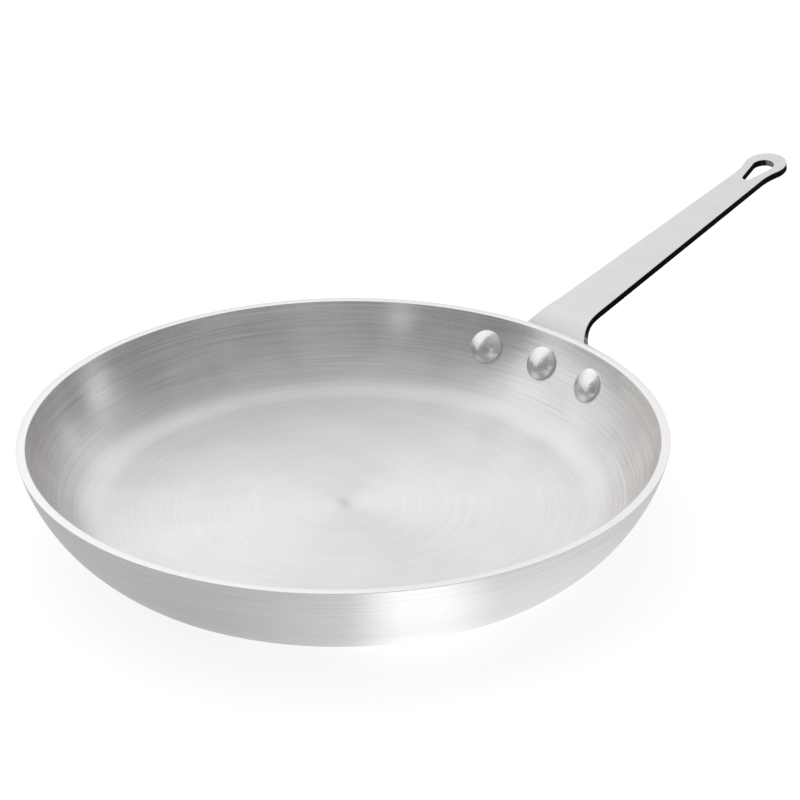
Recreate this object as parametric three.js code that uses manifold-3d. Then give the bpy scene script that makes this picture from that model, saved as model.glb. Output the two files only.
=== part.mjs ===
// A riveted aluminium frying pan: a curved shell, a bent steel handle and three rivets.
// Millimetres, +Z up. The origin is the centre of the flat underside, and the handle runs along +X.

import * as THREE from 'three';
import { mergeVertices } from 'three/addons/utils/BufferGeometryUtils.js';
import Module from 'manifold-3d';

const wasm = await Module();
wasm.setup();

const { Vector2, Vector3 } = THREE;
const { degToRad, lerp, smoothstep } = THREE.MathUtils;

// Shell, of one gauge all over: flat floor, tight corner, wide wall curve up to a flat-cut rim
const RIM_RADIUS = 152.5;
const PAN_HEIGHT = 44.5;
const GAUGE = 4.1;
const RIM_LEAN = degToRad(12.9);
const WALL_CURVE = 75.5;
const CORNER_RADIUS = 15;

// Handle plate
const PLATE_THICKNESS = 3.8;
const HANDLE_RISE = degToRad(12.4);
const HANDLE_REACH = 188.2;
const STRAP_LIFT = 4.2;
const BEND_RADIUS = 20;
const ROOT_HALF_WIDTH = 13.1;
const NECK_HALF_WIDTH = 9;

// Handle foot, which hugs the wall, and the fillets that lead from it to the strap
const FOOT_HEIGHT = 22;
const SHOULDER_RISE = 0.6;
const FILLET_LENGTH = 30;
const FILLET_WIDTH = 15.5;

// Handle eye and its tapered hanging hole
const EYE_FLARE = 2.7;
const EYE_FILLET = 36;
const EYE_TIP_HALF_WIDTH = 1.5;
const HOLE_WIDE_RADIUS = 5.9;
const HOLE_NARROW_RADIUS = 2.8;
const HOLE_LENGTH = 23;
const HOLE_TO_TIP = 7.7;

// Rivets
const RIVET_DROP = 15.3;
const RIVET_SPACING = 34.3;
const SHANK_RADIUS = 4;
const HEAD_RADIUS = 8.8;
const HEAD_HEIGHT = 4;
const TAIL_RADIUS = 7.5;
const TAIL_HEIGHT = 2.6;
const TAIL_SKIRT = 1;

// Clearances
const SEAT_GAP = 0.3;
const SHANK_CLEARANCE = 0.3;

// Facets
const SHELL_SEGMENTS = 96;
const RIVET_SEGMENTS = 24;
const HOLE_SEGMENTS = 10;
const ARC_STEPS = 6;
const PLATE_COLUMNS = 16;
const CUTTER_OVERRUN = 10;

// Sizes that follow from the ones above
const RIM_SINK = WALL_CURVE * Math.sin(RIM_LEAN);
const WALL_CENTRE = new Vector2(RIM_RADIUS - WALL_CURVE * Math.cos(RIM_LEAN), PAN_HEIGHT + RIM_SINK);
const CORNER_JOIN = Math.asin((WALL_CENTRE.y - CORNER_RADIUS) / (WALL_CURVE - CORNER_RADIUS));
const RIVET_TILT = Math.asin((RIM_SINK + RIVET_DROP) / (WALL_CURVE - GAUGE));
const RIVET_WALL_RADIUS = WALL_CENTRE.x + (WALL_CURVE - GAUGE) * Math.cos(RIVET_TILT);
const RIVET_ANGLE = RIVET_SPACING / RIVET_WALL_RADIUS;
const RIVET_ANGLES = [RIVET_ANGLE, 0, -RIVET_ANGLE];
const STACK = GAUGE + SEAT_GAP + PLATE_THICKNESS;
const EYE_RADIUS = NECK_HALF_WIDTH + EYE_FLARE;

// Points of an arc, or of an ellipse where the radius differs along y
function arcPoints(centre, radius, from, to, steps = ARC_STEPS, radiusY = radius) {
  const points = [];
  for (let i = 0; i <= steps; i++) {
    const angle = lerp(from, to, i / steps);
    points.push(new Vector2(centre.x + radius * Math.cos(angle), centre.y + radiusY * Math.sin(angle)));
  }
  return points;
}

// Solids for cutting and joining

function solidFrom(geometry) {
  const bare = geometry.clone();
  bare.deleteAttribute('normal');
  bare.deleteAttribute('uv');
  const merged = mergeVertices(bare);
  const corners = merged.index.array;
  const triangles = [];
  for (let i = 0; i < corners.length; i += 3) {
    const [a, b, c] = corners.slice(i, i + 3);
    if (a !== b && b !== c && c !== a) triangles.push(a, b, c);
  }
  return new wasm.Manifold(new wasm.Mesh({
    numProp: 3,
    vertProperties: Float32Array.from(merged.attributes.position.array),
    triVerts: Uint32Array.from(triangles),
  }));
}

function geometryFrom(solid) {
  const mesh = solid.getMesh();
  const geometry = new THREE.BufferGeometry();
  geometry.setAttribute('position', new THREE.BufferAttribute(mesh.vertProperties, 3));
  geometry.setIndex(new THREE.BufferAttribute(mesh.triVerts, 1));
  geometry.computeVertexNormals();
  return geometry;
}

function cut(geometry, cutters) {
  const solid = cutters.reduce((rest, cutter) => rest.subtract(solidFrom(cutter)), solidFrom(geometry));
  return geometryFrom(solid);
}

function join(geometry, other) {
  return geometryFrom(solidFrom(geometry).add(solidFrom(other)));
}

function turned(profile, segments) {
  return new THREE.LatheGeometry(profile, segments).rotateX(Math.PI / 2);
}

// Shell, turned about Z

// Centre-line outwards and up: floor, corner and wall of the surface this far inside the outer one
function shellLine(inset) {
  const cornerReach = WALL_CURVE - CORNER_RADIUS;
  const cornerCentre = new Vector2(
    WALL_CENTRE.x + cornerReach * Math.cos(CORNER_JOIN),
    WALL_CENTRE.y - cornerReach * Math.sin(CORNER_JOIN),
  );
  const wallRadius = WALL_CURVE - inset;
  const rimAngle = Math.asin(RIM_SINK / wallRadius);
  const corner = arcPoints(cornerCentre, CORNER_RADIUS - inset, -Math.PI / 2, -CORNER_JOIN);
  const wall = arcPoints(WALL_CENTRE, wallRadius, -CORNER_JOIN, -rimAngle);
  return [new Vector2(0, inset), ...corner, ...wall.slice(1)];
}

function shellBetween(outerInset, innerInset) {
  const profile = [...shellLine(outerInset), ...shellLine(innerInset).reverse()];
  return turned(profile, SHELL_SEGMENTS);
}

function shellGeometry() {
  return cut(shellBetween(0, GAUGE), RIVET_ANGLES.map(shankCutter));
}

// Rivets

// Turns a shape so that its axis runs out through the wall, with its zero on the wall's inner face
function placeOnWall(geometry, angle) {
  const axis = new Vector3(Math.cos(RIVET_TILT), 0, -Math.sin(RIVET_TILT));
  const turn = new THREE.Quaternion().setFromUnitVectors(new Vector3(0, 0, 1), axis);
  geometry.applyQuaternion(turn);
  geometry.translate(RIVET_WALL_RADIUS, 0, PAN_HEIGHT - RIVET_DROP);
  return geometry.rotateZ(angle);
}

function rod(radius, from, to) {
  const cylinder = new THREE.CylinderGeometry(radius, radius, to - from, RIVET_SEGMENTS);
  return cylinder.rotateX(Math.PI / 2).translate(0, 0, (from + to) / 2);
}

function shankCutter(angle) {
  const cutter = rod(SHANK_RADIUS + SHANK_CLEARANCE, -CUTTER_OVERRUN, STACK + CUTTER_OVERRUN);
  return placeOnWall(cutter, angle);
}

// Radius of the sphere that a dome is part of, and the angle from its crown to its edge
function domeSphere(radius, height) {
  const sphere = (radius * radius + height * height) / (2 * height);
  return { sphere, edge: Math.asin(radius / sphere) };
}

// Head and tail start as full buttons, and are trimmed to seat on the wall and on the handle's foot
function rivetGeometry(angle) {
  const head = domeSphere(HEAD_RADIUS, HEAD_HEIGHT);
  const tail = domeSphere(TAIL_RADIUS, TAIL_HEIGHT);
  const headCentre = new Vector2(0, head.sphere - HEAD_HEIGHT);
  const tailCentre = new Vector2(0, STACK + TAIL_HEIGHT - tail.sphere);
  const down = -Math.PI / 2;
  const up = Math.PI / 2;
  const profile = [
    ...arcPoints(headCentre, head.sphere, down, down + head.edge),
    new Vector2(SHANK_RADIUS, 0),
    new Vector2(SHANK_RADIUS, STACK - TAIL_SKIRT),
    new Vector2(TAIL_RADIUS, STACK - TAIL_SKIRT),
    ...arcPoints(tailCentre, tail.sphere, up - tail.edge, up),
  ];
  const buttons = placeOnWall(turned(profile, RIVET_SEGMENTS), angle);
  const seats = shellBetween(GAUGE - STACK - SEAT_GAP, GAUGE + SEAT_GAP);
  const shank = placeOnWall(rod(SHANK_RADIUS, -HEAD_HEIGHT / 2, STACK + TAIL_HEIGHT / 2), angle);
  return join(cut(buttons, [seats]), shank);
}

// Handle

// The face that starts against the wall and becomes the strap's top: foot, bend, then straight strap.
// The distance s runs along it from the foot's lower edge.
function plateRoute() {
  const footRadius = WALL_CURVE + SEAT_GAP;
  const strapDirection = new Vector2(Math.cos(HANDLE_RISE), Math.sin(HANDLE_RISE));
  const strapNormal = new Vector2(-strapDirection.y, strapDirection.x);
  const strapAtRim = new Vector2(RIM_RADIUS, PAN_HEIGHT + STRAP_LIFT);

  // The bend's circle touches the foot's circle from outside and the strap's line from below
  const fall = strapAtRim.sub(WALL_CENTRE).dot(strapNormal) - BEND_RADIUS;
  const reach = Math.sqrt((footRadius + BEND_RADIUS) ** 2 - fall ** 2);
  const bendOffset = strapDirection.clone().multiplyScalar(reach).addScaledVector(strapNormal, fall);
  const bendCentre = bendOffset.clone().add(WALL_CENTRE);
  const leaveAngle = Math.atan2(-bendOffset.y, bendOffset.x);

  const startAngle = RIVET_TILT + FOOT_HEIGHT / 2 / footRadius;
  const bendStart = (startAngle - leaveAngle) * footRadius;
  const bendRise = Math.PI / 2 - leaveAngle;
  const bendEnd = bendStart + (bendRise - HANDLE_RISE) * BEND_RADIUS;
  const bendExit = bendCentre.clone().addScaledVector(strapNormal, BEND_RADIUS);
  const tip = bendEnd + (RIM_RADIUS + HANDLE_REACH - bendExit.x) / strapDirection.x;

  function at(s) {
    if (s <= bendStart) {
      const angle = startAngle - s / footRadius;
      const out = new Vector2(Math.cos(angle), -Math.sin(angle));
      return { point: out.multiplyScalar(footRadius).add(WALL_CENTRE), rise: Math.PI / 2 - angle };
    }
    const rise = Math.max(bendRise - (s - bendStart) / BEND_RADIUS, HANDLE_RISE);
    const point = new Vector2(-Math.sin(rise), Math.cos(rise)).multiplyScalar(BEND_RADIUS).add(bendCentre);
    return { point: point.addScaledVector(strapDirection, Math.max(s - bendEnd, 0)), rise };
  }

  return { at, bendStart, bendEnd, tip };
}

// Half of the plate's flat outline: x is the distance along the route, y the half width there
function plateOutline(route) {
  const halfTurn = Math.PI;
  const threeQuarters = 1.5 * Math.PI;

  const footEnd = RIVET_ANGLE * route.at(FOOT_HEIGHT / 2).point.x;
  const footMiddle = new Vector2(FOOT_HEIGHT / 2, footEnd);
  const foot = arcPoints(footMiddle, FOOT_HEIGHT / 2, halfTurn, 0, 2 * ARC_STEPS);

  const rootEnd = FOOT_HEIGHT + SHOULDER_RISE + FILLET_LENGTH;
  const fillet = new Vector2(rootEnd, ROOT_HALF_WIDTH + FILLET_WIDTH);
  const root = arcPoints(fillet, FILLET_LENGTH, halfTurn, threeQuarters, ARC_STEPS, FILLET_WIDTH);

  const eyeCentre = new Vector2(route.tip - EYE_RADIUS, 0);
  const neckHeight = NECK_HALF_WIDTH + EYE_FILLET;
  const neckReach = Math.sqrt((EYE_RADIUS + EYE_FILLET) ** 2 - neckHeight ** 2);
  const neckCentre = new Vector2(eyeCentre.x - neckReach, neckHeight);
  const meet = Math.atan2(neckHeight, -neckReach);
  const neck = arcPoints(neckCentre, EYE_FILLET, threeQuarters, meet + halfTurn);
  const tipAngle = Math.asin(EYE_TIP_HALF_WIDTH / EYE_RADIUS);
  const eye = arcPoints(eyeCentre, EYE_RADIUS, meet, tipAngle, 2 * ARC_STEPS);

  return [...foot, ...root, ...neck, ...eye.slice(1)];
}

function halfWidthAt(outline, s) {
  const next = Math.max(outline.findIndex((point) => point.x >= s), 1);
  const [a, b] = [outline[next - 1], outline[next]];
  return lerp(a.y, b.y, (s - a.x) / (b.x - a.x));
}

// A point of the plate: across is the distance sideways from its middle line, depth the way into it.
// The foot is wrapped round the pan's axis, and the bend unrolls it to the flat strap.
function platePoint(route, s, across, depth) {
  const { point, rise } = route.at(s);
  const wrap = 1 - smoothstep(s, route.bendStart, route.bendEnd);
  const out = depth * Math.sin(rise);
  const z = point.y - depth * Math.cos(rise);
  if (wrap === 0) return new Vector3(point.x + out, across, z);
  const curve = point.x / wrap;
  const angle = across / curve;
  return new Vector3(point.x + (curve + out) * Math.cos(angle) - curve, (curve + out) * Math.sin(angle), z);
}

function plateGeometry(route) {
  const outline = plateOutline(route);
  const stations = outline.map((point) => point.x);
  for (let i = 0; i <= ARC_STEPS; i++) {
    stations.push(lerp(route.bendStart, route.bendEnd, i / ARC_STEPS));
  }
  stations.sort((a, b) => a - b);

  const positions = [];
  for (const depth of [0, PLATE_THICKNESS]) {
    for (const s of stations) {
      const half = halfWidthAt(outline, s);
      for (let column = 0; column <= PLATE_COLUMNS; column++) {
        const across = half * (2 * column / PLATE_COLUMNS - 1);
        positions.push(...platePoint(route, s, across, depth).toArray());
      }
    }
  }

  const index = [];
  const quad = (a, b, c, d) => index.push(a, b, c, a, c, d);
  const row = PLATE_COLUMNS + 1;
  const under = stations.length * row;
  const last = under - row;
  for (let start = 0; start < last; start += row) {
    for (let a = start; a < start + PLATE_COLUMNS; a++) {
      quad(a, a + row, a + row + 1, a + 1);
      quad(under + a, under + a + 1, under + a + row + 1, under + a + row);
    }
    const end = start + PLATE_COLUMNS;
    quad(start, under + start, under + start + row, start + row);
    quad(end, end + row, under + end + row, under + end);
  }
  for (let a = 0; a < PLATE_COLUMNS; a++) {
    const b = last + a;
    quad(a, a + 1, under + a + 1, under + a);
    quad(b, under + b, under + b + 1, b + 1);
  }

  const geometry = new THREE.BufferGeometry();
  geometry.setAttribute('position', new THREE.Float32BufferAttribute(positions, 3));
  geometry.setIndex(index);
  return geometry;
}

function hangingHoleCutter(route) {
  const wide = -HOLE_TO_TIP - HOLE_WIDE_RADIUS;
  const narrow = -HOLE_TO_TIP - HOLE_LENGTH + HOLE_NARROW_RADIUS;
  const flank = Math.acos((HOLE_NARROW_RADIUS - HOLE_WIDE_RADIUS) / (wide - narrow));
  const shape = new THREE.Shape();
  shape.absarc(wide, 0, HOLE_WIDE_RADIUS, -flank, flank, false);
  shape.absarc(narrow, 0, HOLE_NARROW_RADIUS, flank, 2 * Math.PI - flank, false);
  const depth = PLATE_THICKNESS + 2 * CUTTER_OVERRUN;
  const sweep = { depth, bevelEnabled: false, curveSegments: HOLE_SEGMENTS };
  const cutter = new THREE.ExtrudeGeometry(shape, sweep);
  const { point } = route.at(route.tip);
  cutter.translate(0, 0, -PLATE_THICKNESS - CUTTER_OVERRUN);
  return cutter.rotateY(-HANDLE_RISE).translate(point.x, 0, point.y);
}

function handleGeometry() {
  const route = plateRoute();
  return cut(plateGeometry(route), [hangingHoleCutter(route), ...RIVET_ANGLES.map(shankCutter)]);
}

// Assembly

const bareAluminium = { color: 0xd2d2d0, roughness: 0.38, metalness: 1 };
const platedSteel = { color: 0xd6d6d4, roughness: 0.3, metalness: 1 };
const polishedAluminium = { color: 0xdcdcda, roughness: 0.22, metalness: 1 };

function piece(name, geometry, finish) {
  const mesh = new THREE.Mesh(geometry, new THREE.MeshStandardMaterial(finish));
  mesh.name = name;
  return mesh;
}

const pan = new THREE.Group();
pan.add(piece('pan_body', shellGeometry(), bareAluminium));
pan.add(piece('handle', handleGeometry(), platedSteel));
['rivet_left', 'rivet_centre', 'rivet_right'].forEach((name, i) => {
  pan.add(piece(name, rivetGeometry(RIVET_ANGLES[i]), polishedAluminium));
});

export default pan;
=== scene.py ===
"""Looks of a riveted aluminium frying pan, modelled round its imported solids.

Metres, +Z up. The origin is the centre of the flat underside, and the handle runs along +X.
"""

import logging
import math
from collections.abc import Callable, Sequence
from dataclasses import dataclass, field
from enum import Enum
from itertools import pairwise
from typing import Any

import bpy
from mathutils import Matrix, Quaternion, Vector

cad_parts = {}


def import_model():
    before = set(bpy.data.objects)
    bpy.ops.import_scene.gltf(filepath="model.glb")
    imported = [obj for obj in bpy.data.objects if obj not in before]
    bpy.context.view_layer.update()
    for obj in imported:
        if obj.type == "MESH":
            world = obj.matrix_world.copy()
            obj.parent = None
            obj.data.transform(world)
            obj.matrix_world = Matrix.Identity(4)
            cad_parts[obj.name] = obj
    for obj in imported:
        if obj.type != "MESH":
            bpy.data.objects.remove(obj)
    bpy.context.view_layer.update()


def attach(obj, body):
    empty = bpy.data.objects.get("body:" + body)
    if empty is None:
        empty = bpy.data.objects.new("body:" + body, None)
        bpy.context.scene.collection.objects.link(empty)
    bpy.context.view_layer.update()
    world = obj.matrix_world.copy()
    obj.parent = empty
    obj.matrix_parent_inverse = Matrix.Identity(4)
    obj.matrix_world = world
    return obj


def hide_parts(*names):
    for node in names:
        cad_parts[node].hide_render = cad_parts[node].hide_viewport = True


MM = 0.001
MERGE_DISTANCE = 0.001 * MM
WHITE = (1.0, 1.0, 1.0)
BODY = "root"
LOG = logging.getLogger("frying_pan")

Socket = bpy.types.NodeSocket
Tint = tuple[float, float, float]

# Where a change starts and where it ends
Span = tuple[float, float]


def angles(start: float, end: float) -> Span:
    """Turn a span of degrees into radians."""
    return math.radians(start), math.radians(end)


# Shader maths


class Value:
    """A number that varies over a surface: one output socket, with arithmetic."""

    def __init__(self, graph: "Graph", socket: Socket) -> None:
        """Wrap an output socket of a graph."""
        self.graph = graph
        self.socket = socket

    def math(self, operation: str, *others: "float | Value") -> "Value":
        """Add a Math node whose first input is this value.

        Args:
            operation: Blender's name of the operation.
            *others: The remaining inputs, in order.

        Returns:
            The node's result.
        """
        return self.graph.math(operation, self, *others)

    def __add__(self, other: "float | Value") -> "Value":
        """This plus other, or other plus this."""
        return self.math("ADD", other)

    __radd__ = __add__

    def __sub__(self, other: "float | Value") -> "Value":
        """This minus other."""
        return self.math("SUBTRACT", other)

    def __rsub__(self, other: float) -> "Value":
        """Other minus this."""
        return self.graph.math("SUBTRACT", other, self)

    def __mul__(self, other: "float | Value") -> "Value":
        """This times other, or other times this."""
        return self.math("MULTIPLY", other)

    __rmul__ = __mul__

    def __truediv__(self, other: "float | Value") -> "Value":
        """This over other."""
        return self.math("DIVIDE", other)

    def __pow__(self, other: "float | Value") -> "Value":
        """This to the power of other."""
        return self.math("POWER", other)

    def step(self, low: float, high: float) -> "Value":
        """Rise smoothly from 0 to 1 while this goes from low to high.

        Args:
            low: Where the rise starts.
            high: Where it ends.

        Returns:
            The smooth step.
        """
        ends = {"Value": self, "From Min": low, "From Max": high}
        node = self.graph.node("ShaderNodeMapRange", {"interpolation_type": "SMOOTHSTEP"}, ends)
        return Value(self.graph, node.outputs["Result"])

    def band(self, rise: Span, fall: Span) -> "Value":
        """Rise from 0 to 1 over one span and fall back to 0 over a later one."""
        return self.step(*rise) * (1.0 - self.step(*fall))

    def hypot(self, other: "Value") -> "Value":
        """Give the distance that this and other make as two sides at a right angle."""
        return (self * self + other * other) ** 0.5

    def centred(self) -> "Value":
        """Stretch what lies between 0 and 1 to lie between -1 and 1."""
        return (self - 0.5) * 2.0


def blend(first: "float | Value", second: "float | Value", share: "float | Value") -> Value:
    """Go from the first value to the second while the share goes from 0 to 1."""
    return first + share * (second - first)


class Graph:
    """A node tree that is filled from code."""

    def __init__(self, tree: bpy.types.NodeTree) -> None:
        """Start the tree afresh."""
        self.tree = tree
        tree.nodes.clear()

    def node(
        self,
        kind: str,
        settings: dict[str, Any] | None = None,
        inputs: dict[str | int, Any] | None = None,
    ) -> bpy.types.Node:
        """Add a node.

        Args:
            kind: The node's type.
            settings: Its own properties, set before its sockets.
            inputs: What its sockets hold: plain values, sockets or Values.

        Returns:
            The new node.
        """
        node = self.tree.nodes.new(kind)
        for name, setting in (settings or {}).items():
            setattr(node, name, setting)
        for name, given in (inputs or {}).items():
            source = given.socket if isinstance(given, Value) else given
            if isinstance(source, Socket):
                self.tree.links.new(source, node.inputs[name])
            else:
                node.inputs[name].default_value = source
        return node

    def math(self, operation: str, *terms: "float | Value") -> Value:
        """Add a Math node.

        Args:
            operation: Blender's name of the operation.
            *terms: Its inputs, in order.

        Returns:
            The node's result.
        """
        node = self.node("ShaderNodeMath", {"operation": operation}, dict(enumerate(terms)))
        return Value(self, node.outputs[0])

    def place(self) -> Socket:
        """Give the surface point's place in the object's own frame."""
        return self.node("ShaderNodeTexCoord").outputs["Object"]

    def parts(self, vector: Socket) -> tuple[Value, Value, Value]:
        """Take a vector apart into x, y and z."""
        x, y, z = self.node("ShaderNodeSeparateXYZ", inputs={0: vector}).outputs
        return Value(self, x), Value(self, y), Value(self, z)

    def vector(self, x: "float | Value", y: "float | Value", z: "float | Value") -> Socket:
        """Join three numbers into a vector."""
        return self.node("ShaderNodeCombineXYZ", inputs={0: x, 1: y, 2: z}).outputs[0]

    def dot(self, vector: Socket, axis: Vector) -> Value:
        """Give how far a vector reaches along an axis."""
        node = self.node("ShaderNodeVectorMath", {"operation": "DOT_PRODUCT"}, {0: vector, 1: tuple(axis)})
        return Value(self, node.outputs["Value"])

    def noise(self, at: Socket, scale: float = 1.0, detail: float = 2.0) -> Value:
        """Add a noise texture.

        Args:
            at: The vector that it is read at.
            scale: Cells to a unit of that vector.
            detail: How many finer layers it has.

        Returns:
            The noise, about 0.5 in the middle.
        """
        node = self.node("ShaderNodeTexNoise", inputs={"Vector": at, "Scale": scale, "Detail": detail})
        return Value(self, node.outputs["Fac"])

    def grey(self, level: Value, tint: Tint = WHITE) -> Socket:
        """Scale a tint by a level.

        Args:
            level: The brightness.
            tint: The colour at level 1.

        Returns:
            The colour socket.
        """
        sockets = {0: tint, "Scale": level}
        return self.node("ShaderNodeVectorMath", {"operation": "SCALE"}, sockets).outputs[0]

    def bump(self, height: Value, strength: float, distance: float) -> Socket:
        """Turn a height into a bumped normal.

        Args:
            height: The height, 0 to 1.
            strength: How much of the bump shows.
            distance: What a height of 1 stands for, in metres.

        Returns:
            The normal socket.
        """
        sockets = {"Height": height, "Strength": strength, "Distance": distance}
        return self.node("ShaderNodeBump", inputs=sockets).outputs[0]


# Finishes


def new_graph(name: str) -> tuple[bpy.types.Material, Graph]:
    """Make an empty node material.

    Args:
        name: The material's name.

    Returns:
        The material and its graph.
    """
    material = bpy.data.materials.new(name)
    material.use_nodes = True
    return material, Graph(material.node_tree)


def close_graph(graph: Graph, shader: bpy.types.Node) -> None:
    """Lead a shader to the material's output."""
    graph.node("ShaderNodeOutputMaterial", inputs={"Surface": shader.outputs[0]})


def close_metal(
    graph: Graph,
    colour: Socket,
    roughness: Value,
    normal: Socket,
    constants: dict[str, float] | None = None,
) -> None:
    """Make a material's surface bare metal.

    Args:
        graph: The material's graph.
        colour: The metal's colour.
        roughness: Its roughness.
        normal: Its bumped normal.
        constants: Other sockets of the shader, which are the same all over.
    """
    sockets = {"Base Color": colour, "Metallic": 1.0, "Roughness": roughness, "Normal": normal}
    sockets.update(constants or {})
    close_graph(graph, graph.node("ShaderNodeBsdfPrincipled", inputs=sockets))


@dataclass(frozen=True)
class BrushLines:
    """One set of lines that a brush leaves round the pan's axis."""

    length: float
    gap: float
    layers: float = 1.0

    def draw(self, graph: Graph, x: Value, y: Value, along: Value) -> Value:
        """Draw the lines.

        Args:
            graph: The material's graph.
            x: The place across the pan.
            y: The place across the pan, the other way.
            along: The way along the pan's section.

        Returns:
            The lines, about 0.5 in the middle.
        """
        at = graph.vector(x / self.length, y / self.length, along / self.gap)
        return graph.noise(at, detail=self.layers)


@dataclass(frozen=True)
class BrushedAluminium:
    """Bare aluminium brushed in circles on a lathe, with a brighter flat-cut rim.

    A spread is how far the lines, or the smudges and painted sheen, move a level or roughness up and down.
    """

    rim_height: float
    wall_centre: Vector
    wall_middle: float
    tint: Tint = (1.0, 0.985, 0.974)
    level: float = 0.83
    floor_spread: float = 0.09
    inner_wall_spread: float = 0.28
    outer_wall_spread: float = 0.16
    # The smudge spreads also carry painted sheen, streaks and fans that stand in for reflections.
    floor_smudge_and_sheen_spread: float = 0.05
    wall_smudge_and_sheen_spread: float = 0.14
    centre_mark_radius: float = 7.0 * MM
    centre_mark_shade: float = 0.14
    rim_level: float = 0.87
    roughness: float = 0.36
    wall_roughness: float = 0.28
    corner_extra_roughness: float = 0.05
    roughness_spread: float = 0.05
    rim_roughness: float = 0.25
    anisotropy: float = 0.8
    brushing_turn: float = 0.25
    fine_lines: BrushLines = BrushLines(length=40.0 * MM, gap=0.9 * MM)
    broad_lines: BrushLines = BrushLines(length=70.0 * MM, gap=3.8 * MM)
    ring_lines: BrushLines = BrushLines(length=60.0 * MM, gap=1.6 * MM)
    # Wide patches of brightness: partly smudges, partly painted sheen that stands in for streaky
    # reflections.
    smudges_and_sheen: BrushLines = BrushLines(length=26.0 * MM, gap=55.0 * MM)
    fine_share: float = 0.55
    broad_share: float = 0.1
    ring_share: float = 0.35
    line_depth: float = 0.02 * MM
    line_strength: float = 0.6
    wall_heights: Span = (6.0 * MM, 18.0 * MM)
    smooth_heights: Span = (14.0 * MM, 32.0 * MM)
    corner_heights: Span = (8.0 * MM, 18.0 * MM)
    corner_radii: Span = (88.0 * MM, 108.0 * MM)
    rim_depths: Span = (0.5 * MM, 0.2 * MM)
    side_blur: float = 1.0 * MM

    def material(self) -> bpy.types.Material:
        """Build the material.

        Returns:
            The material.
        """
        material, graph = new_graph("brushed_aluminium")
        x, y, z = graph.parts(graph.place())
        radius = x.hypot(y)
        along = radius + z
        kinds = (self.fine_lines, self.broad_lines, self.ring_lines, self.smudges_and_sheen)
        fine, broad, rings, smudges_and_sheen = (kind.draw(graph, x, y, along) for kind in kinds)
        lines = fine * self.fine_share + broad * self.broad_share + rings * self.ring_share
        brush = lines.centred()
        rim_start, rim_end = self.rim_depths
        rim = z.step(self.rim_height - rim_start, self.rim_height - rim_end)
        level = blend(self.body_level(radius, z, brush, smudges_and_sheen.centred()), self.rim_level, rim)
        roughness = blend(self.body_roughness(radius, z, brush), self.rim_roughness, rim)
        normal = graph.bump((fine + rings) * 0.5, self.line_strength, self.line_depth)
        brushing = {"Anisotropic": self.anisotropy, "Anisotropic Rotation": self.brushing_turn}
        close_metal(graph, graph.grey(level, self.tint), roughness, normal, brushing)
        return material

    def body_level(self, radius: Value, z: Value, brush: Value, smudges_and_sheen: Value) -> Value:
        """Give the brightness below the rim: lines, smudges and painted sheen inside, and a mark at the
        centre.

        Args:
            radius: The distance from the pan's axis.
            z: The height.
            brush: The brush lines, from -1 to 1.
            smudges_and_sheen: The smudges and painted sheen streaks, from -1 to 1.

        Returns:
            The brightness.
        """
        wall = z.step(*self.wall_heights)
        from_centre = (radius - self.wall_centre.x).hypot(z - self.wall_centre.y)
        outside = from_centre.step(self.wall_middle - self.side_blur, self.wall_middle + self.side_blur)
        wall_spread = blend(self.inner_wall_spread, self.outer_wall_spread, outside)
        spread = blend(self.floor_spread, wall_spread, wall)
        inner_wall = wall * (1.0 - outside)
        # The smudge noise is partly painted sheen: it lays streaks and fans of reflection on the inner
        # wall and the floor.
        smudge_and_sheen_spread = (1.0 - wall) * self.floor_smudge_and_sheen_spread + inner_wall * self.wall_smudge_and_sheen_spread
        centre = 1.0 - radius.step(0.0, self.centre_mark_radius)
        marks_and_sheen = smudges_and_sheen * smudge_and_sheen_spread - centre * self.centre_mark_shade
        return self.level + brush * spread + marks_and_sheen

    def body_roughness(self, radius: Value, z: Value, brush: Value) -> Value:
        """Give the roughness below the rim: less high on the wall, and more in the corner.

        Args:
            radius: The distance from the pan's axis.
            z: The height.
            brush: The brush lines, from -1 to 1.

        Returns:
            The roughness.
        """
        high = z.step(*self.smooth_heights)
        corner = radius.step(*self.corner_radii) * (1.0 - z.step(*self.corner_heights))
        plain = blend(self.roughness, self.wall_roughness, high) + corner * self.corner_extra_roughness
        return plain + brush * self.roughness_spread


@dataclass(frozen=True)
class MarkedMetal:
    """Bare metal whose small marks vary its brightness, its roughness and its height."""

    name: str
    tint: Tint
    level: float
    level_spread: float
    roughness: float
    roughness_spread: float
    mark_size: float
    mark_layers: float
    mark_depth: float
    mark_strength: float

    def pattern(self, graph: Graph, marks: Value) -> Value:
        """Give what the brightness and the roughness follow, which is the marks alone."""
        return marks

    def material(self) -> bpy.types.Material:
        """Build the material.

        Returns:
            The material.
        """
        material, graph = new_graph(self.name)
        marks = graph.noise(graph.place(), scale=1.0 / self.mark_size, detail=self.mark_layers)
        pattern = self.pattern(graph, marks).centred()
        colour = graph.grey(self.level + pattern * self.level_spread, self.tint)
        roughness = self.roughness + pattern * self.roughness_spread
        close_metal(graph, colour, roughness, graph.bump(marks, self.mark_strength, self.mark_depth))
        return material


@dataclass(frozen=True)
class PolishedAluminium(MarkedMetal):
    """Rivet heads, pressed bright and lightly marked."""

    name: str = "polished_aluminium"
    tint: Tint = (1.0, 0.997, 0.99)
    level: float = 0.86
    level_spread: float = 0.08
    roughness: float = 0.23
    roughness_spread: float = 0.12
    mark_size: float = 2.6 * MM
    mark_layers: float = 4.0
    mark_depth: float = 0.4 * MM
    mark_strength: float = 0.5


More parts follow.
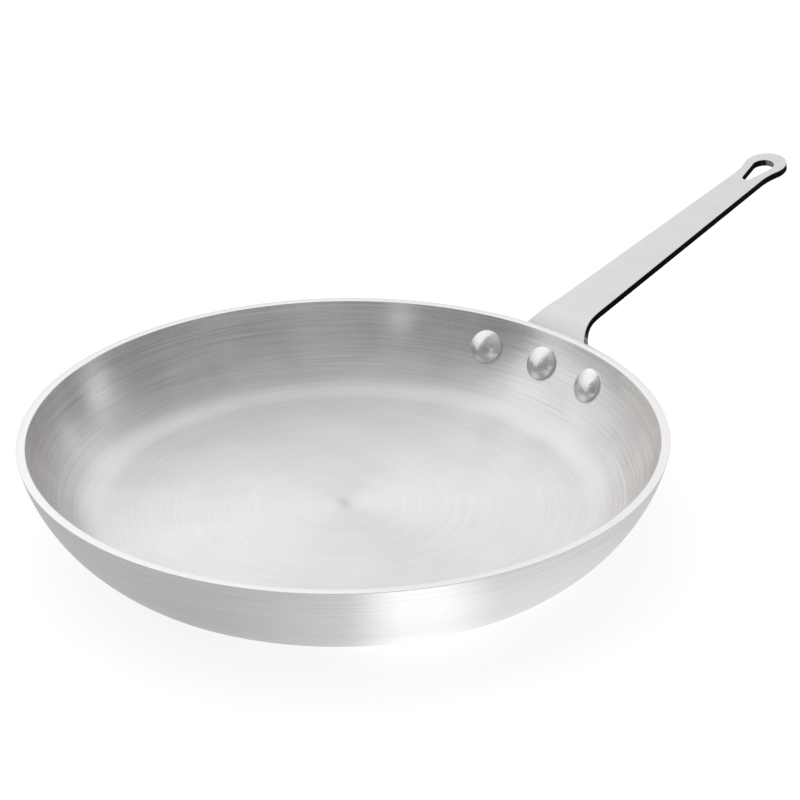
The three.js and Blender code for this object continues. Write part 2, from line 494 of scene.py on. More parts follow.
@dataclass(frozen=True)
class SatinPlate(MarkedMetal):
    """Satin plating on the handle's faces, fine-grained and faintly mottled."""

    name: str = "satin_plate"
    tint: Tint = (1.0, 0.99, 0.985)
    level: float = 0.7
    level_spread: float = 0.08
    roughness: float = 0.34
    roughness_spread: float = 0.1
    mark_size: float = 0.8 * MM
    mark_layers: float = 2.0
    mark_depth: float = 0.03 * MM
    mark_strength: float = 0.15
    mottle_size: float = 9.0 * MM
    mottle_layers: float = 3.0
    mottle_share: float = 0.6

    def pattern(self, graph: Graph, marks: Value) -> Value:
        """Mix a wider mottle into the marks."""
        mottle = graph.noise(graph.place(), scale=1.0 / self.mottle_size, detail=self.mottle_layers)
        return blend(marks, mottle, self.mottle_share)


@dataclass(frozen=True)
class CutEdge(MarkedMetal):
    """The handle's sheared edge, smoother than its faces and much darker: partly darker steel, partly
    painted dark reflection.
    """

    name: str = "cut_edge"
    tint: Tint = (1.0, 0.99, 0.98)
    # The low level is partly painted reflection: it stands in for the dark surroundings that the edge
    # reflects.
    level: float = 0.26
    level_spread: float = 0.12
    roughness: float = 0.18
    roughness_spread: float = 0.1
    mark_size: float = 0.9 * MM
    mark_layers: float = 3.0
    mark_depth: float = 0.05 * MM
    mark_strength: float = 0.2


# Modelling


def arc(
    centre: Vector, radius: float, start: float, end: float, steps: int, radius_y: float | None = None
) -> list[Vector]:
    """Give points along an arc, or along an ellipse where the two radii differ.

    Args:
        centre: The centre, in the plane of the outline.
        radius: The radius, along the outline's first axis.
        start: The first angle.
        end: The last angle.
        steps: How many parts the arc has.
        radius_y: The radius along the second axis, if it differs.

    Returns:
        The points, both ends included.
    """
    second = radius if radius_y is None else radius_y
    turns = [start + (end - start) * i / steps for i in range(steps + 1)]
    return [centre + Vector((radius * math.cos(a), second * math.sin(a))) for a in turns]


class Plane(Enum):
    """The plane that an outline is drawn in."""

    UPRIGHT = "x and z"
    FLAT = "x and y"

    def lift(self, point: Vector) -> Vector:
        """Give a point of an outline its place in space."""
        if self is Plane.UPRIGHT:
            return Vector((point.x, 0.0, point.y))
        return Vector((point.x, point.y, 0.0))


class Element(Enum):
    """What is picked in a mesh, by Blender's name for it."""

    POINT = "VERT"
    FACE = "FACE"


class Workpiece:
    """One mesh under construction, shaped with Blender's own tools."""

    def __init__(self, name: str) -> None:
        """Lay a small plane at the origin and merge it into a single point.

        Args:
            name: The piece's name.
        """
        bpy.ops.object.select_all(action="DESELECT")
        bpy.ops.mesh.primitive_plane_add(size=MM)
        self.object: bpy.types.Object = bpy.context.object
        self.object.name = name
        self.object.data.name = name
        self.edit()
        bpy.ops.mesh.select_mode(type="VERT")
        bpy.ops.mesh.select_all(action="SELECT")
        bpy.ops.mesh.merge(type="CENTER")

    def edit(self) -> None:
        """Go into edit mode on this piece alone."""
        bpy.ops.object.mode_set(mode="OBJECT")
        bpy.ops.object.select_all(action="DESELECT")
        self.object.select_set(True)
        bpy.context.view_layer.objects.active = self.object
        bpy.ops.object.mode_set(mode="EDIT")

    def leave(self) -> bpy.types.Object:
        """Go back to object mode and give the finished object."""
        bpy.ops.object.mode_set(mode="OBJECT")
        return self.object

    def trace(self, outline: Sequence[Vector], plane: Plane) -> None:
        """Move the point to the outline's start and extrude it along the outline.

        Args:
            outline: The points to follow.
            plane: The plane that they lie in.
        """
        path = [plane.lift(point) for point in outline]
        bpy.ops.transform.translate(value=path[0])
        for here, there in pairwise(path):
            bpy.ops.mesh.extrude_vertices_move(TRANSFORM_OT_translate={"value": there - here})

    def pick(self, kind: Element, wanted: Callable[[Any], bool]) -> None:
        """Select the points or the faces that pass a test.

        Args:
            kind: Which of the two.
            wanted: The test, which is given a vertex or a polygon of the mesh.
        """
        bpy.ops.mesh.select_mode(type=kind.value)
        bpy.ops.mesh.select_all(action="DESELECT")
        bpy.ops.object.mode_set(mode="OBJECT")
        mesh = self.object.data
        for element in mesh.vertices if kind is Element.POINT else mesh.polygons:
            element.select = wanted(element)
        bpy.ops.object.mode_set(mode="EDIT")

    def spin(self, segments: int) -> None:
        """Spin the outline once round Z and close the seam and the poles.

        Args:
            segments: How many parts the turn has.
        """
        bpy.ops.mesh.select_all(action="SELECT")
        bpy.ops.mesh.spin(steps=segments, angle=2.0 * math.pi, center=(0, 0, 0), axis=(0, 0, 1))
        self.clean()

    def clean(self) -> None:
        """Merge doubled points and turn all faces outwards."""
        bpy.ops.mesh.select_all(action="SELECT")
        bpy.ops.mesh.remove_doubles(threshold=MERGE_DISTANCE)
        bpy.ops.mesh.normals_make_consistent(inside=False)

    def apply(self, kind: str, **settings: Any) -> None:
        """Add a modifier to the finished object and apply it.

        Args:
            kind: The modifier's type.
            **settings: Its properties.
        """
        self.leave()
        bpy.ops.object.modifier_add(type=kind)
        modifier = self.object.modifiers[-1]
        for name, setting in settings.items():
            setattr(modifier, name, setting)
        bpy.ops.object.modifier_apply(modifier=modifier.name)

    def cut_away(self, tool: bpy.types.Object) -> None:
        """Take away what another object fills."""
        self.apply("BOOLEAN", operation="DIFFERENCE", solver="EXACT", object=tool)

    def put(self, place: Matrix) -> None:
        """Move the finished object to its place and apply the move to its mesh.

        Args:
            place: The frame that its own frame becomes.
        """
        self.leave()
        self.object.matrix_world = place
        bpy.ops.object.transform_apply(location=True, rotation=True, scale=True)

    def smooth(self, angle: float) -> None:
        """Shade smoothly, but keep edges that turn by more than an angle."""
        self.leave()
        bpy.ops.object.shade_smooth_by_angle(angle=angle)

    def coat(self, *finishes: bpy.types.Material) -> None:
        """Give the piece its materials, the main one first."""
        for finish in finishes:
            self.object.data.materials.append(finish)


def enter(piece: bpy.types.Object, node: str) -> None:
    """Give a finished piece its place in the frame.

    Args:
        piece: The finished object.
        node: The solid that it stands for.
    """
    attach(piece, BODY)
    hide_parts(node)
    LOG.info("%s: %d faces", piece.name, len(piece.data.polygons))


@dataclass
class Shell:
    """The round pan itself: flat floor, tight corner, wide wall curve and flat-cut rim."""

    rim_radius: float = 152.5 * MM
    height: float = 44.5 * MM
    gauge: float = 4.1 * MM
    rim_lean: float = math.radians(12.9)
    wall_curve: float = 75.5 * MM
    corner_radius: float = 15.0 * MM
    inner_corner_radius: float = 22.0 * MM
    rim_ease: float = 0.35 * MM
    rim_slack: float = 0.01 * MM
    rim_steps: int = 4
    floor_rings: int = 6
    corner_steps: int = 12
    wall_steps: int = 24
    segments: int = 320
    smooth_angle: float = math.radians(35)

    @property
    def rim_sink(self) -> float:
        """How far the rim lies below the centre of the wall's curve."""
        return self.wall_curve * math.sin(self.rim_lean)

    @property
    def wall_centre(self) -> Vector:
        """The centre of the wall's curve, as radius and height."""
        reach = self.wall_curve * math.cos(self.rim_lean)
        return Vector((self.rim_radius - reach, self.height + self.rim_sink))

    def wall_tilt(self, drop: float) -> float:
        """Give the angle below level of the inner wall's outward normal at a drop below the rim."""
        return math.asin((self.rim_sink + drop) / (self.wall_curve - self.gauge))

    def wall_point(self, tilt: float, inset: float) -> Vector:
        """Give the wall's point, as radius and height, at a tilt and a depth inside its outer face."""
        away = Vector((math.cos(tilt), -math.sin(tilt)))
        return self.wall_centre + away * (self.wall_curve - inset)

    def line(self, inset: float, corner_radius: float) -> list[Vector]:
        """Draw one face of the shell, from the axis out and up to the rim.

        Args:
            inset: How far inside the outer face it lies.
            corner_radius: The radius between its floor and its wall.

        Returns:
            The outline's points, as radius and height.
        """
        wall_radius = self.wall_curve - inset
        corner_reach = wall_radius - corner_radius
        join = math.asin((self.wall_centre.y - inset - corner_radius) / corner_reach)
        rim_angle = math.asin(self.rim_sink / wall_radius)
        centre = self.wall_centre + Vector((math.cos(join), -math.sin(join))) * corner_reach
        floor = [Vector((centre.x * i / self.floor_rings, inset)) for i in range(self.floor_rings)]
        corner = arc(centre, corner_radius, -math.pi / 2, -join, self.corner_steps)
        wall = arc(self.wall_centre, wall_radius, -join, -rim_angle, self.wall_steps)
        return [*floor, *corner, *wall[1:]]

    def build(self) -> bpy.types.Object:
        """Draw the section, ease the rim's edges and spin it.

        Returns:
            The finished shell.
        """
        work = Workpiece("pan_shell")
        outside = self.line(0.0, self.corner_radius)
        inside = self.line(self.gauge, self.inner_corner_radius)
        work.trace([*outside, *reversed(inside)], Plane.UPRIGHT)
        work.pick(Element.POINT, lambda point: point.co.z > self.height - self.rim_slack)
        bpy.ops.mesh.bevel(affect="VERTICES", offset=self.rim_ease, segments=self.rim_steps)
        work.spin(self.segments)
        work.smooth(self.smooth_angle)
        middle = self.wall_curve - self.gauge / 2
        work.coat(BrushedAluminium(self.height, self.wall_centre, middle).material())
        piece = work.leave()
        enter(piece, "pan_body")
        return piece


@dataclass
class Handle:
    """The bent steel plate: a foot that hugs the wall, a bend over the rim, a strap and an eye."""

    shell: Shell
    foot_tilt: float
    foot_angle: float
    thickness: float = 3.8 * MM
    rise: float = math.radians(12.4)
    reach: float = 188.2 * MM
    strap_lift: float = 4.2 * MM
    bend_radius: float = 20.0 * MM
    root_half_width: float = 13.1 * MM
    neck_half_width: float = 9.0 * MM
    foot_height: float = 22.0 * MM
    shoulder_rise: float = 0.6 * MM
    fillet_length: float = 30.0 * MM
    fillet_width: float = 15.5 * MM
    eye_flare: float = 2.7 * MM
    eye_fillet: float = 36.0 * MM
    eye_tip_half_width: float = 1.5 * MM
    hole_wide_radius: float = 5.9 * MM
    hole_narrow_radius: float = 2.8 * MM
    hole_length: float = 23.0 * MM
    hole_to_tip: float = 7.7 * MM
    seat_gap: float = 0.3 * MM
    edge_ease: float = 0.2 * MM
    edge_steps: int = 3
    edge_angle: float = math.radians(60)
    side_limit: float = 0.6
    smooth_angle: float = math.radians(50)
    arc_steps: int = 14
    cut_spacing: float = 1.6 * MM
    foot_radius: float = field(init=False)
    along: Vector = field(init=False)
    above: Vector = field(init=False)
    bend_centre: Vector = field(init=False)
    bend_rise: float = field(init=False)
    start_angle: float = field(init=False)
    bend_start: float = field(init=False)
    bend_end: float = field(init=False)
    tip: float = field(init=False)

    def __post_init__(self) -> None:
        """Work out the route of the face that starts on the wall and becomes the strap's top."""
        self.foot_radius = self.shell.wall_curve + self.seat_gap
        self.along = Vector((math.cos(self.rise), math.sin(self.rise)))
        self.above = Vector((-self.along.y, self.along.x))
        strap = Vector((self.shell.rim_radius, self.shell.height + self.strap_lift))
        fall = (strap - self.shell.wall_centre).dot(self.above) - self.bend_radius
        out = math.sqrt((self.foot_radius + self.bend_radius) ** 2 - fall**2)
        offset = self.along * out + self.above * fall
        self.bend_centre = self.shell.wall_centre + offset
        leave = math.atan2(-offset.y, offset.x)
        self.start_angle = self.foot_tilt + self.foot_height / 2 / self.foot_radius
        self.bend_start = (self.start_angle - leave) * self.foot_radius
        self.bend_rise = math.pi / 2 - leave
        self.bend_end = self.bend_start + (self.bend_rise - self.rise) * self.bend_radius
        bend_exit = self.bend_centre + self.above * self.bend_radius
        self.tip = self.bend_end + (self.shell.rim_radius + self.reach - bend_exit.x) / self.along.x

    def route(self, s: float) -> tuple[Vector, float]:
        """Follow the plate's upper face.

        Args:
            s: The distance along it from the foot's lower edge.

        Returns:
            The point, as radius and height, and the face's rise there.
        """
        if s <= self.bend_start:
            angle = self.start_angle - s / self.foot_radius
            out = Vector((math.cos(angle), -math.sin(angle)))
            return self.shell.wall_centre + out * self.foot_radius, math.pi / 2 - angle
        rise = max(self.bend_rise - (s - self.bend_start) / self.bend_radius, self.rise)
        point = self.bend_centre + Vector((-math.sin(rise), math.cos(rise))) * self.bend_radius
        return point + self.along * max(s - self.bend_end, 0.0), rise

    def outline(self) -> list[Vector]:
        """Draw half of the flat plate, from the foot's lower edge to the tip.

        Returns:
            Points whose x is the distance along the route and whose y is the half width.
        """
        foot_end = self.foot_angle * self.route(self.foot_height / 2)[0].x
        foot_middle = Vector((self.foot_height / 2, foot_end))
        foot = arc(foot_middle, self.foot_height / 2, math.pi, 0.0, 2 * self.arc_steps)
        root_end = self.foot_height + self.shoulder_rise + self.fillet_length
        fillet = Vector((root_end, self.root_half_width + self.fillet_width))
        root = arc(fillet, self.fillet_length, math.pi, 1.5 * math.pi, self.arc_steps, self.fillet_width)
        eye_radius = self.neck_half_width + self.eye_flare
        eye_centre = Vector((self.tip - eye_radius, 0.0))
        neck_height = self.neck_half_width + self.eye_fillet
        neck_reach = math.sqrt((eye_radius + self.eye_fillet) ** 2 - neck_height**2)
        neck_centre = Vector((eye_centre.x - neck_reach, neck_height))
        meet = math.atan2(neck_height, -neck_reach)
        neck = arc(neck_centre, self.eye_fillet, 1.5 * math.pi, meet + math.pi, self.arc_steps)
        tip_angle = math.asin(self.eye_tip_half_width / eye_radius)
        eye = arc(eye_centre, eye_radius, meet, tip_angle, 2 * self.arc_steps)
        return [*foot, *root, *neck, *eye[1:]]

    def hole_outline(self) -> list[Vector]:
        """Draw the tapered hanging hole in the flat plate.

        Returns:
            The closed loop's points.
        """
        wide = self.tip - self.hole_to_tip - self.hole_wide_radius
        narrow = self.tip - self.hole_to_tip - self.hole_length + self.hole_narrow_radius
        flank = math.acos((self.hole_narrow_radius - self.hole_wide_radius) / (wide - narrow))
        steps = 2 * self.arc_steps
        wide_end = arc(Vector((wide, 0.0)), self.hole_wide_radius, -flank, flank, steps)
        narrow_end = arc(
            Vector((narrow, 0.0)), self.hole_narrow_radius, flank, 2.0 * math.pi - flank, steps
        )
        return [*wide_end, *narrow_end]

    def slab(self, name: str, loop: Sequence[Vector], top: float, bottom: float) -> Workpiece:
        """Fill a loop and extrude it downwards.

        Args:
            name: The piece's name.
            loop: The outline.
            top: The height of its top.
            bottom: The height of its underside.

        Returns:
            The slab, in edit mode.
        """
        work = Workpiece(name)
        work.trace(loop, Plane.FLAT)
        bpy.ops.mesh.select_all(action="SELECT")
        bpy.ops.transform.translate(value=(0.0, 0.0, top))
        bpy.ops.mesh.edge_face_add()
        bpy.ops.mesh.extrude_region_move(TRANSFORM_OT_translate={"value": (0.0, 0.0, bottom - top)})
        work.clean()
        return work

    def finish_edges(self, work: Workpiece) -> None:
        """Ease the flat plate's edges, and give its faces and its cut sides their finishes.

        Args:
            work: The flat plate, which is left in edit mode.
        """
        work.edit()
        bpy.ops.mesh.select_mode(type="EDGE")
        bpy.ops.mesh.select_all(action="DESELECT")
        bpy.ops.mesh.edges_select_sharp(sharpness=self.edge_angle)
        bpy.ops.mesh.bevel(offset=self.edge_ease, segments=self.edge_steps)
        work.pick(Element.FACE, lambda face: abs(face.normal.z) < self.side_limit)
        work.coat(SatinPlate().material(), CutEdge().material())
        work.object.active_material_index = len(work.object.material_slots) - 1
        bpy.ops.object.material_slot_assign()

    def cut_rows(self, work: Workpiece) -> None:
        """Cut the foot and the bend into small faces, so that they can be curved.

        Args:
            work: The flat plate, in edit mode.
        """
        curved = self.bend_end + self.cut_spacing
        rows = math.ceil(curved / self.cut_spacing)
        half_width = max(point.y for point in self.outline())
        column_spacing = 2.0 * self.cut_spacing
        columns = math.ceil(half_width / column_spacing)
        for row in range(1, rows):
            bpy.ops.mesh.select_all(action="SELECT")
            place = (row * self.cut_spacing, 0.0, 0.0)
            bpy.ops.mesh.bisect(plane_co=place, plane_no=(1.0, 0.0, 0.0))
        for column in range(1 - columns, columns):
            work.pick(Element.FACE, lambda face: face.center.x < curved)
            place = (0.0, column * column_spacing, 0.0)
            bpy.ops.mesh.bisect(plane_co=place, plane_no=(0.0, 1.0, 0.0))

    def curve(self, flat: Vector) -> Vector:
        """Take a point of the flat plate to its place on the bent one.

        Args:
            flat: Distance along the route, distance sideways, and height above the top face.

        Returns:
            The point in space.
        """
        point, rise = self.route(flat.x)
        depth = -flat.z
        bent = min(max((flat.x - self.bend_start) / (self.bend_end - self.bend_start), 0.0), 1.0)
        wrap = 1.0 - bent * bent * (3.0 - 2.0 * bent)
        out = depth * math.sin(rise)
        z = point.y - depth * math.cos(rise)
        if wrap == 0.0:
            return Vector((point.x + out, flat.y, z))
        radius = point.x / wrap
        angle = flat.y / radius
        x = point.x + (radius + out) * math.cos(angle) - radius
        return Vector((x, (radius + out) * math.sin(angle), z))

    def build(self) -> bpy.types.Object:
        """Cut the flat plate out, ease its edges, and curve it to its place.

        Returns:
            The finished handle.
        """
        half = self.outline()
        loop = [*half, *(Vector((point.x, -point.y)) for point in reversed(half))]
        punch = self.slab("hole_punch", self.hole_outline(), self.thickness, -2.0 * self.thickness).leave()
        work = self.slab("handle_plate", loop, 0.0, -self.thickness)
        work.cut_away(punch)
        bpy.data.objects.remove(punch)
        self.finish_edges(work)
        self.cut_rows(work)
        piece = work.leave()
        for vertex in piece.data.vertices:
            vertex.co = self.curve(vertex.co)
        work.edit()
        work.clean()
        work.smooth(self.smooth_angle)
        work.apply("WEIGHTED_NORMAL", keep_sharp=True)
        enter(piece, "handle")
        return piece


@dataclass
class Rivets:
    """Three set rivets: a domed head inside the pan and a flatter tail on the handle's foot."""

    shell: Shell
    drop: float = 15.3 * MM
    spacing: float = 34.3 * MM
    head_radius: float = 8.8 * MM
    head_height: float = 4.0 * MM
    tail_radius: float = 7.5 * MM
    tail_height: float = 2.6 * MM
    edge_round: float = 1.5 * MM
    edge_height: float = 0.5 * MM
    skirt: float = 1.5 * MM
    dome_steps: int = 12
    segments: int = 64
    smooth_angle: float = math.radians(40)

    @property
    def tilt(self) -> float:
        """The angle below level of the rivets' axes."""
        return self.shell.wall_tilt(self.drop)

    @property
    def angle(self) -> float:
        """The angle round the pan from one rivet to the next."""
        return self.spacing / self.shell.wall_point(self.tilt, self.shell.gauge).x

    def dome(self, radius: float, height: float) -> list[Vector]:
        """Draw a button with a skirt, as a closed section from the axis to the axis.

        A wide crown runs smoothly into a small round at the edge.

        Args:
            radius: The button's radius.
            height: Its height above its seat.

        Returns:
            Points as radius and height, with the seat at height 0.
        """
        edge = Vector((radius - self.edge_round, self.edge_height))
        fall = self.edge_height - height
        crown = (edge.x**2 + fall**2 - self.edge_round**2) / (-2.0 * (fall + self.edge_round))
        crown_centre = Vector((0.0, height - crown))
        join = math.atan2(edge.y - crown_centre.y, edge.x)
        top = arc(crown_centre, crown, math.pi / 2, join, self.dome_steps)
        side = arc(edge, self.edge_round, join, 0.0, self.dome_steps)
        return [*top, *side[1:], Vector((radius, -self.skirt)), Vector((0.0, -self.skirt))]

    def button(self, name: str, section: list[Vector], place: Matrix, seat: bpy.types.Object) -> Workpiece:
        """Spin a dome, put it on its seat and trim it there.

        Args:
            name: The piece's name.
            section: The dome's section.
            place: Where it goes, with the dome towards its +Z.
            seat: What it is trimmed by.

        Returns:
            The trimmed dome.
        """
        work = Workpiece(name)
        work.trace(section, Plane.UPRIGHT)
        work.spin(self.segments)
        work.put(place)
        work.cut_away(seat)
        return work

    def place(self, angle: float, inset: float, outwards: bool) -> Matrix:
        """Give the frame of a dome on the wall.

        Args:
            angle: The way round the pan from the handle.
            inset: The depth of its seat inside the wall's outer face.
            outwards: Whether the dome points out of the pan.

        Returns:
            The frame.
        """
        point = self.shell.wall_point(self.tilt, inset)
        axis = Vector((math.cos(self.tilt), 0.0, -math.sin(self.tilt)))
        pointing = axis if outwards else -axis
        turn = Vector((0.0, 0.0, 1.0)).rotation_difference(pointing)
        local = Matrix.LocRotScale(Vector((point.x, 0.0, point.y)), turn, None)
        return Matrix.Rotation(angle, 4, "Z") @ local

    def build(self, shell: bpy.types.Object, handle: bpy.types.Object, foot_depth: float) -> None:
        """Make the three rivets.

        Args:
            shell: The finished shell, which seats the heads.
            handle: The finished handle, which seats the tails.
            foot_depth: How far the foot's outer face stands off the wall's outer face.
        """
        finish = PolishedAluminium().material()
        places = {"left": self.angle, "centre": 0.0, "right": -self.angle}
        for side, angle in places.items():
            head = self.button(
                f"rivet_{side}_set",
                self.dome(self.head_radius, self.head_height),
                self.place(angle, self.shell.gauge, outwards=False),
                shell,
            )
            tail = self.button(
                "tail",
                self.dome(self.tail_radius, self.tail_height),
                self.place(angle, -foot_depth, outwards=True),
                handle,
            )
            tail.object.select_set(True)
            head.object.select_set(True)
            bpy.context.view_layer.objects.active = head.object
            bpy.ops.object.join()
            head.smooth(self.smooth_angle)
            head.coat(finish)
            enter(head.leave(), f"rivet_{side}")


# Studio


@dataclass
class Viewpoint:
    """The camera, at the photograph's viewing angle.

    A turn is counted anticlockwise about the pan, as seen from above, from the camera's side.
    """

    azimuth: float = math.radians(-44.55)
    elevation: float = math.radians(26.668)
    distance: float = 1.1
    aim: Vector = field(default_factory=lambda: Vector((0.03935, 0.00124, 0.0445)))
    roll: float = math.radians(-0.159)
    lens: float = 105.42
    sensor_width: float = 36.0

    def heading(self, turn: float, elevation: float = 0.0) -> Vector:
        """Give the unit vector from the pan at a turn and an elevation.

        Args:
            turn: The turn.
            elevation: The angle above level.

        Returns:
            The unit vector.
        """
        angle = self.azimuth + turn
        level = math.cos(elevation)
        return Vector((math.sin(angle) * level, -math.cos(angle) * level, math.sin(elevation)))

    def turn_of(self, graph: Graph, vector: Socket) -> Value:
        """Give the turn of a direction, or of a place as seen from the pan's axis.

        Args:
            graph: The graph that the vector is in.
            vector: The direction or place.

        Returns:
            The turn.
        """
        forwards = graph.dot(vector, self.heading(0.0))
        sideways = graph.dot(vector, self.heading(math.pi / 2))
        return sideways.math("ARCTAN2", forwards)

    def build(self, centre: Vector) -> None:
        """Make the camera and set it as the scene's.

        Args:
            centre: The point that its distance is measured from.
        """
        place = centre + self.heading(0.0, self.elevation) * self.distance
        bpy.ops.object.camera_add(location=place)
        camera = bpy.context.object
        camera.data.lens = self.lens
        camera.data.sensor_width = self.sensor_width
        camera.rotation_mode = "QUATERNION"
        facing = (self.aim - place).to_track_quat("-Z", "Y")
        camera.rotation_quaternion = facing @ Quaternion((0.0, 0.0, 1.0), self.roll)
        bpy.context.scene.camera = camera


@dataclass
class Room:
    """A dim room with a soft light behind the pan, a narrow strip at its side and a small spot.

    Heights are those of a unit vector, from 0 at the horizon to 1 overhead.
    """

    view: Viewpoint
    dim: float = 0.33
    dim_aside: float = 0.26
    aside_turns: Span = angles(-32.0, -20.0)
    aside_heights: Span = (0.3, 0.6)
    ceiling: float = 0.25
    ceiling_power: float = 4.0
    bright: float = 1.03
    bright_foot: float = 0.76
    bright_heights: Span = (0.1, 0.5)
    bright_turn: float = math.radians(-155)
    bright_elevation: float = math.radians(10)
    bright_edge: Span = (0.15, 0.27)
    strip_level: float = 0.75
    strip_lean: float = 0.35
    strip_rise: Span = angles(94.0, 97.0)
    strip_fall: Span = angles(106.0, 109.0)
    strip_heights: Span = (0.1, 0.6)
    spot_level: float = 1.3
    spot_turn: float = math.radians(-22)
    spot_elevation: float = math.radians(17)
    spot_edge: Span = angles(5.0, 2.0)
    unevenness: float = 0.15
    patches_per_unit: float = 3.0

    def build(self) -> None:
        """Shade the world from the room's dim side to its bright side."""
        world = bpy.data.worlds.new("soft_room")
        world.use_nodes = True
        bpy.context.scene.world = world
        graph = Graph(world.node_tree)
        direction = graph.node("ShaderNodeTexCoord").outputs["Generated"]
        _, _, z = graph.parts(direction)
        turn = self.view.turn_of(graph, direction)
        patches = graph.noise(direction, scale=self.patches_per_unit).centred() * self.unevenness
        wide_light = self.wide_light(graph, direction, turn, z) + self.strip(turn, z)
        level = wide_light * (1.0 + patches) + self.spot(graph, direction) * self.spot_level
        sockets = {"Color": graph.grey(level), "Strength": 1.0}
        background = graph.node("ShaderNodeBackground", inputs=sockets)
        graph.node("ShaderNodeOutputWorld", inputs={"Surface": background.outputs[0]})

    def wide_light(self, graph: Graph, direction: Socket, turn: Value, z: Value) -> Value:
        """Give the level of the dim room with the soft light in it.

        Args:
            graph: The world's graph.
            direction: The direction looked in.
            turn: Its turn.
            z: Its height.

        Returns:
            The level.
        """
        aside = (1.0 - turn.step(*self.aside_turns)) * (1.0 - z.step(*self.aside_heights))
        dim = blend(self.dim, self.dim_aside, aside) + z**self.ceiling_power * self.ceiling
        bright = blend(self.bright * self.bright_foot, self.bright, z.step(*self.bright_heights))
        middle = self.view.heading(self.bright_turn, self.bright_elevation)
        glow = graph.dot(direction, middle).step(*self.bright_edge)
        return blend(dim, bright, glow)

    def strip(self, turn: Value, z: Value) -> Value:
        """Give the level of the leaning strip, which fades upwards."""
        sides = (turn - z * self.strip_lean).band(self.strip_rise, self.strip_fall)
        return sides * (1.0 - z.step(*self.strip_heights)) * self.strip_level

    def spot(self, graph: Graph, direction: Socket) -> Value:
        """Give 1 inside the small round spot and 0 outside it."""
        middle = self.view.heading(self.spot_turn, self.spot_elevation)
        return graph.dot(direction, middle).step(*(math.cos(angle) for angle in self.spot_edge))


@dataclass
class Floor:
    """A large pale floor that shows white but keeps the pan's shadow."""

    size: float = 60.0
    level: float = 0.46
    glow: float = 0.74

    @staticmethod
    def shown(graph: Graph) -> Value:
        """Give 1 for camera, glossy and transmission rays, and 0 for rays that only light.

        Args:
            graph: The floor's graph.

        Returns:
            The mask.
        """
        outputs = graph.node("ShaderNodeLightPath").outputs
        kinds = ("Is Camera Ray", "Is Glossy Ray", "Is Transmission Ray")
        camera, glossy, transmission = (Value(graph, outputs[kind]) for kind in kinds)
        return (camera + glossy + transmission).math("MINIMUM", 1.0)

    def build(self) -> None:
        """Lay the floor."""
        bpy.ops.mesh.primitive_plane_add(size=self.size)
        floor = bpy.context.object
        floor.name = "floor"
        material, graph = new_graph("pale_floor")
        shader = graph.node(
            "ShaderNodeBsdfPrincipled",
            inputs={
                "Base Color": (self.level, self.level, self.level, 1.0),
                "Roughness": 1.0,
                "Specular IOR Level": 0.0,
                "Emission Color": graph.grey(self.shown(graph) * self.glow),
                "Emission Strength": 1.0,
            },
        )
        close_graph(graph, shader)
        floor.data.materials.append(material)


@dataclass
class BackLamp:
    """A soft square lamp high behind the pan."""

    view: Viewpoint
    turn: float = math.radians(-160)
    elevation: float = math.radians(42)
    distance: float = 2.0
    size: float = 1.3
    power: float = 0.5

    def build(self) -> None:
        """Hang the lamp, facing the pan."""
        place = self.view.heading(self.turn, self.elevation) * self.distance
        bpy.ops.object.light_add(type="AREA", location=place)
        lamp = bpy.context.object
        lamp.name = "back_lamp"
        lamp.data.shape = "RECTANGLE"
        lamp.data.size = self.size
        lamp.data.size_y = self.size
        lamp.data.energy = self.power
        lamp.rotation_euler = place.to_track_quat("Z", "Y").to_euler()
        lamp.visible_camera = False


def show_in_reflections_only(card: bpy.types.Object, graph: Graph, colour: "Socket | tuple") -> None:
    """Make a card glow and hide it from all but glossy rays.

    Args:
        card: The card.
        graph: Its material's graph.
        colour: What it glows in, as a socket or as plain numbers.
    """
    close_graph(graph, graph.node("ShaderNodeEmission", inputs={"Color": colour, "Strength": 1.0}))
    card.visible_camera = False
    card.visible_diffuse = False
    card.visible_shadow = False


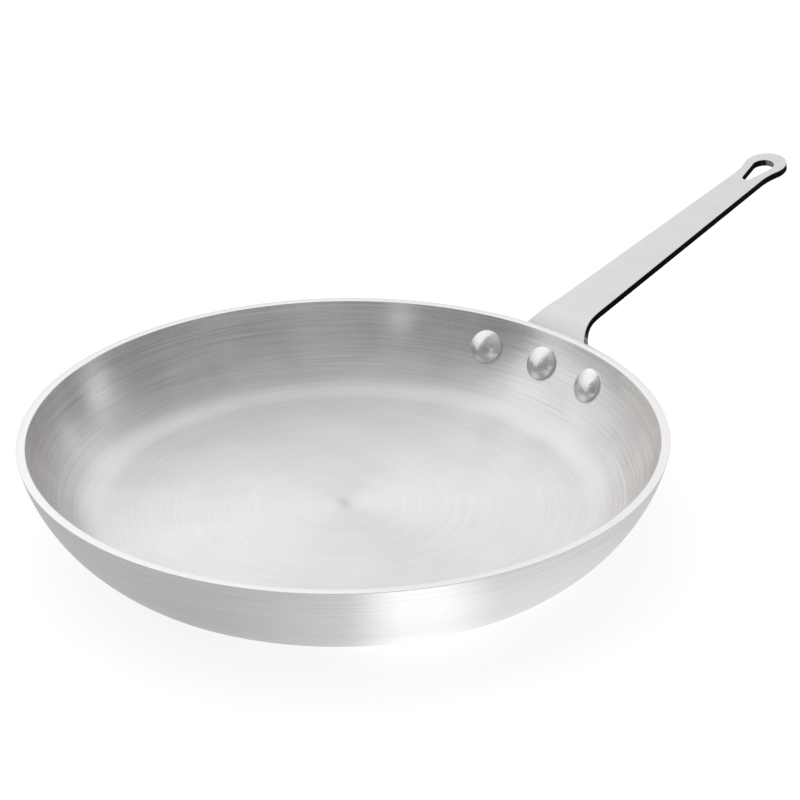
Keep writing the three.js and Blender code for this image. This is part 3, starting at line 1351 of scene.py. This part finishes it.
@dataclass
class RingCard:
    """A grey ring of card on the floor round the pan, with a white part in front."""

    view: Viewpoint
    inner_radius: float = 122.0 * MM
    outer_radius: float = 750.0 * MM
    lift: float = 0.4 * MM
    segments: int = 96
    left_level: float = 0.55
    right_level: float = 0.8
    right_turns: Span = angles(-35.0, 25.0)
    behind_turns: Span = angles(45.0, 130.0)
    behind_share: float = 1.1
    near_extra: float = 0.12
    near_radii: Span = (148.0 * MM, 168.0 * MM)
    near_turns: Span = angles(35.0, 75.0)
    front_level: float = 1.26
    front_rise: Span = angles(-1.5, 12.0)
    front_fall: Span = angles(18.0, 34.0)

    def level(self, graph: Graph) -> Value:
        """Give the card's level: lighter to the right, there more so near the pan, and white in front.

        Args:
            graph: The card's graph.

        Returns:
            The level.
        """
        x, y, _ = graph.parts(graph.place())
        turn = self.view.turn_of(graph, graph.place())
        right = turn.step(*self.right_turns)
        behind = turn.step(*self.behind_turns)
        near = (1.0 - x.hypot(y).step(*self.near_radii)) * (1.0 - turn.step(*self.near_turns))
        sides = blend(self.left_level, self.right_level, right - behind * self.behind_share)
        grey = sides + right * near * self.near_extra
        return blend(grey, self.front_level, turn.band(self.front_rise, self.front_fall))

    def build(self) -> None:
        """Spin the card flat on the floor and light it."""
        work = Workpiece("ring_card")
        ends = (self.inner_radius, self.outer_radius)
        work.trace([Vector((radius, self.lift)) for radius in ends], Plane.UPRIGHT)
        work.spin(self.segments)
        material, graph = new_graph("ring_card")
        work.coat(material)
        show_in_reflections_only(work.leave(), graph, graph.grey(self.level(graph)))


@dataclass
class BlackCard:
    """A black card on the floor beside the handle, for its dark edge to reflect."""

    size: float = 430.0 * MM
    place: tuple[float, float, float] = (490.0 * MM, -74.0 * MM, 0.8 * MM)
    turn: float = math.radians(38.7)
    level: float = 0.01

    def build(self) -> None:
        """Lay the card."""
        rotation = (0.0, 0.0, self.turn)
        bpy.ops.mesh.primitive_plane_add(size=self.size, location=self.place, rotation=rotation)
        card = bpy.context.object
        card.name = "black_card"
        material, graph = new_graph("black_card")
        card.data.materials.append(material)
        show_in_reflections_only(card, graph, (self.level, self.level, self.level, 1.0))


def main() -> None:
    """Load the frame, build and dress the pan, and light it."""
    logging.basicConfig(level=logging.INFO, format="%(name)s %(message)s")
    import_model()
    shell = Shell()
    rivets = Rivets(shell)
    handle = Handle(shell, foot_tilt=rivets.tilt, foot_angle=rivets.angle)
    shell_piece = shell.build()
    handle_piece = handle.build()
    rivets.build(shell_piece, handle_piece, handle.seat_gap + handle.thickness)
    view = Viewpoint()
    view.build(Vector((0.0, 0.0, shell.height)))
    bpy.context.scene.view_settings.view_transform = "Standard"
    for item in (Room(view), Floor(), BackLamp(view), RingCard(view), BlackCard()):
        item.build()
    bpy.context.view_layer.update()


if __name__ == "__main__":
    main()
